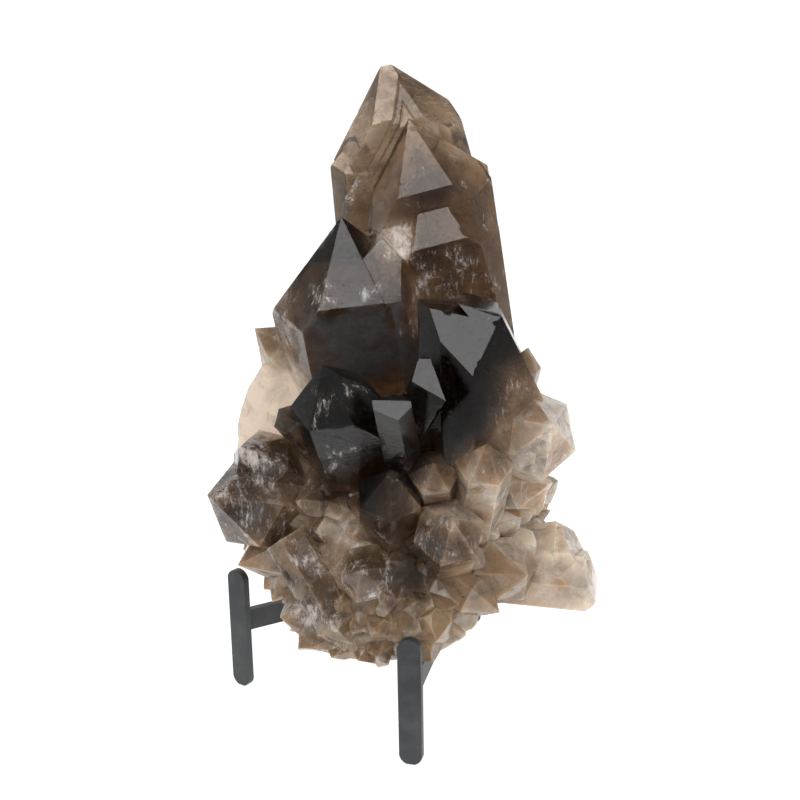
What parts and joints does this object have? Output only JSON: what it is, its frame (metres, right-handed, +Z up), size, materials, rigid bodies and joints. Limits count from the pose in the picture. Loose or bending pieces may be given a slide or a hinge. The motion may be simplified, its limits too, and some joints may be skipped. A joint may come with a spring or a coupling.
{
  "type": "smoky quartz cluster",
  "caption": "Smoky quartz crystals grown together on a pale matrix, standing upright on a welded tripod stand of flat black bars.",
  "frame": {"origin": "on the ground, under the middle of the whole object's box", "axes": "+Z up, the crystals face -Y, +X to the right as seen from the front"},
  "size_m": [0.2514, 0.2092, 0.4196],
  "materials": {
    "quartz": "natural crystal faces, glossy, smoky brown turning milky at the foot",
    "black_metal": "satin black powder coat"
  },
  "bodies": {
    "root": {"quartz_cluster": "quartz", "front_left_leg": "black_metal", "front_right_leg": "black_metal", "rear_post": "black_metal", "left_arm": "black_metal", "right_arm": "black_metal"}
  },
  "joints": []
}
